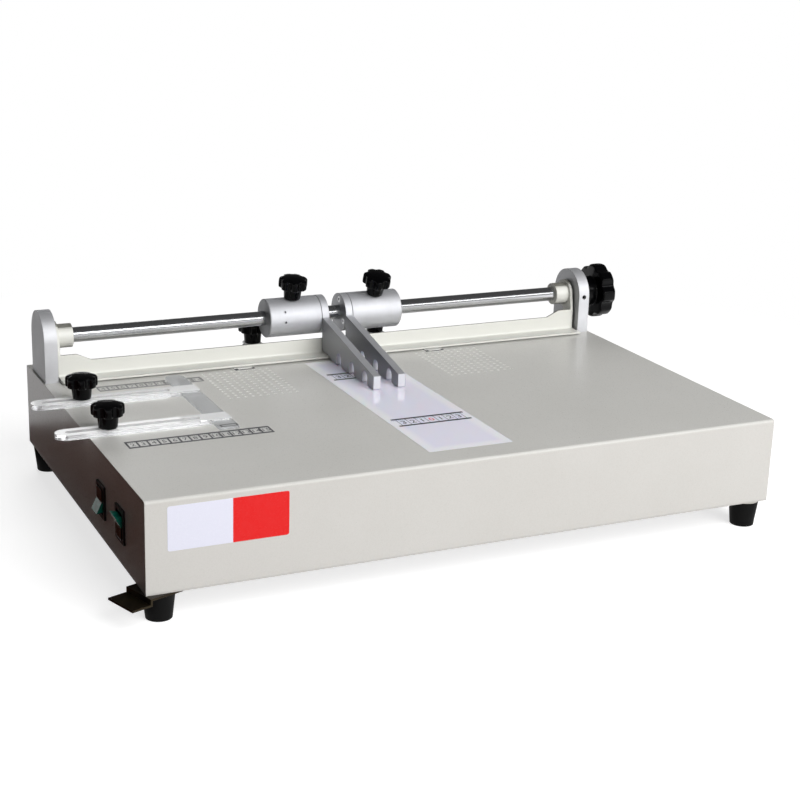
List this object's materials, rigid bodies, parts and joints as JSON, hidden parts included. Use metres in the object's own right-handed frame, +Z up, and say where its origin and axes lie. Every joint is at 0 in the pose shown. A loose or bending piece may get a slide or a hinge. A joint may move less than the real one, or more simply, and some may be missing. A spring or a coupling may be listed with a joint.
{
  "type": "book casing machine",
  "caption": "Desktop book-case maker: a perforated suction table with a light panel, a turning shaft that carries a back rail and sliding comb arms, and clear sliding gauges.",
  "frame": {"origin": "on the floor, under the middle of the machine's overall box", "axes": "+X along the shaft towards the hand knob, +Y from the front to the back, +Z up"},
  "size_m": [0.7175, 0.45, 0.2042],
  "materials": {
    "paint": "semi-gloss pale grey paint",
    "rubber": "black moulded rubber",
    "zinc": "zinc plated, passivated",
    "panel": "translucent, gloss",
    "white_plastic": "matt white",
    "case": "plain sheet",
    "grey_plastic": "matt",
    "dark_plastic": "matt black",
    "motor": "plain steel can",
    "black_plastic": "gloss black",
    "rocker": "translucent teal",
    "aluminium": "satin, machined",
    "bronze": "sintered bronze",
    "black_steel": "blackened",
    "chrome": "ground and chromed",
    "cream": "cream powder coat",
    "acrylic": "clear, polished edges"
  },
  "bodies": {
    "table": {"cover": "paint", "base_plate": "paint", "feet": "rubber", "foot_washers": "zinc", "foot_screws": "zinc", "foot_nuts": "zinc", "hold_down_lug": "zinc", "light_panel": "panel", "light_box": "white_plastic", "led_board": "white_plastic", "led_driver": "case", "left_suction_box": "grey_plastic", "right_suction_box": "grey_plastic", "air_duct": "dark_plastic", "blower_housing": "dark_plastic", "blower_motor": "motor", "mains_inlet": "dark_plastic", "switch_frames": "black_plastic", "left_end_plate": "aluminium", "right_end_plate": "aluminium", "end_plate_screws": "black_steel", "shaft_bushes": "bronze", "bush_screw": "black_steel", "gauge_nuts": "zinc"},
    "shaft": {"shaft": "chrome", "hand_knob": "black_plastic", "back_rail": "cream", "sleeve_screws": "black_steel"},
    "left_spine_arm": {"left_collar": "aluminium", "left_arm": "aluminium", "left_arm_screws": "black_steel"},
    "right_spine_arm": {"right_collar": "aluminium", "right_arm": "aluminium", "right_arm_screws": "black_steel"},
    "left_clamp": {"left_clamp_knob": "black_plastic"},
    "right_clamp": {"right_clamp_knob": "black_plastic"},
    "side_gauge": {"side_gauge_strips": "acrylic", "side_gauge_bar": "acrylic"},
    "side_rear_clamp": {"side_rear_knob": "black_plastic"},
    "side_front_clamp": {"side_front_knob": "black_plastic"},
    "rear_gauge": {"rear_gauge_strips": "acrylic", "rear_gauge_bar": "acrylic"},
    "rear_left_clamp": {"rear_left_knob": "black_plastic"},
    "rear_right_clamp": {"rear_right_knob": "black_plastic"},
    "light_switch": {"light_rocker": "rocker"},
    "blower_switch": {"blower_rocker": "rocker"},
    "blower_rotor": {"blower_wheel": "dark_plastic"}
  },
  "joints": [
    {"name": "shaft_turn", "type": "hinge", "parent": "table", "child": "shaft", "pos_m": [0, 0.17402, 0.156], "axis": [-1, 0, 0], "range_deg": [0, 75]},
    {"name": "left_arm_slide", "type": "slide", "parent": "shaft", "child": "left_spine_arm", "axis": [1, 0, 0], "range_m": [-0.15, 0.008]},
    {"name": "right_arm_slide", "type": "slide", "parent": "shaft", "child": "right_spine_arm", "axis": [1, 0, 0], "range_m": [-0.008, 0.19]},
    {"name": "left_clamp_turn", "type": "hinge", "parent": "left_spine_arm", "child": "left_clamp", "pos_m": [-0.0435, 0.17028, 0.17722], "axis": [0, -0.1736, 0.9848], "range_deg": [0, 270]},
    {"name": "right_clamp_turn", "type": "hinge", "parent": "right_spine_arm", "child": "right_clamp", "pos_m": [0.054, 0.16665, 0.17625], "axis": [0, -0.342, 0.9397], "range_deg": [0, 270]},
    {"name": "side_gauge_slide", "type": "slide", "parent": "table", "child": "side_gauge", "axis": [1, 0, 0], "range_m": [-0.08, 0.02]},
    {"name": "side_rear_clamp_turn", "type": "hinge", "parent": "table", "child": "side_rear_clamp", "pos_m": [-0.305, 0.06902, 0.1196], "axis": [0, 0, 1], "range_deg": [0, 270]},
    {"name": "side_front_clamp_turn", "type": "hinge", "parent": "table", "child": "side_front_clamp", "pos_m": [-0.305, -0.02698, 0.1196], "axis": [0, 0, 1], "range_deg": [0, 270]},
    {"name": "rear_gauge_slide", "type": "slide", "parent": "table", "child": "rear_gauge", "axis": [0, 1, 0], "range_m": [0, 0.014]},
    {"name": "rear_left_clamp_turn", "type": "hinge", "parent": "table", "child": "rear_left_clamp", "pos_m": [-0.075, 0.20902, 0.1196], "axis": [0, 0, 1], "range_deg": [0, 270]},
    {"name": "rear_right_clamp_turn", "type": "hinge", "parent": "table", "child": "rear_right_clamp", "pos_m": [0.075, 0.20902, 0.1196], "axis": [0, 0, 1], "range_deg": [0, 270]},
    {"name": "light_switch_rock", "type": "hinge", "parent": "table", "child": "light_switch", "pos_m": [-0.326, -0.07448, 0.067], "axis": [0, -1, 0], "range_deg": [0, 26]},
    {"name": "blower_switch_rock", "type": "hinge", "parent": "table", "child": "blower_switch", "pos_m": [-0.326, -0.13748, 0.067], "axis": [0, 1, 0], "range_deg": [0, 26]},
    {"name": "blower_spin", "type": "hinge", "parent": "table", "child": "blower_rotor", "pos_m": [0.22, 0.08102, 0.0685], "axis": [1, 0, 0], "continuous": true}
  ]
}
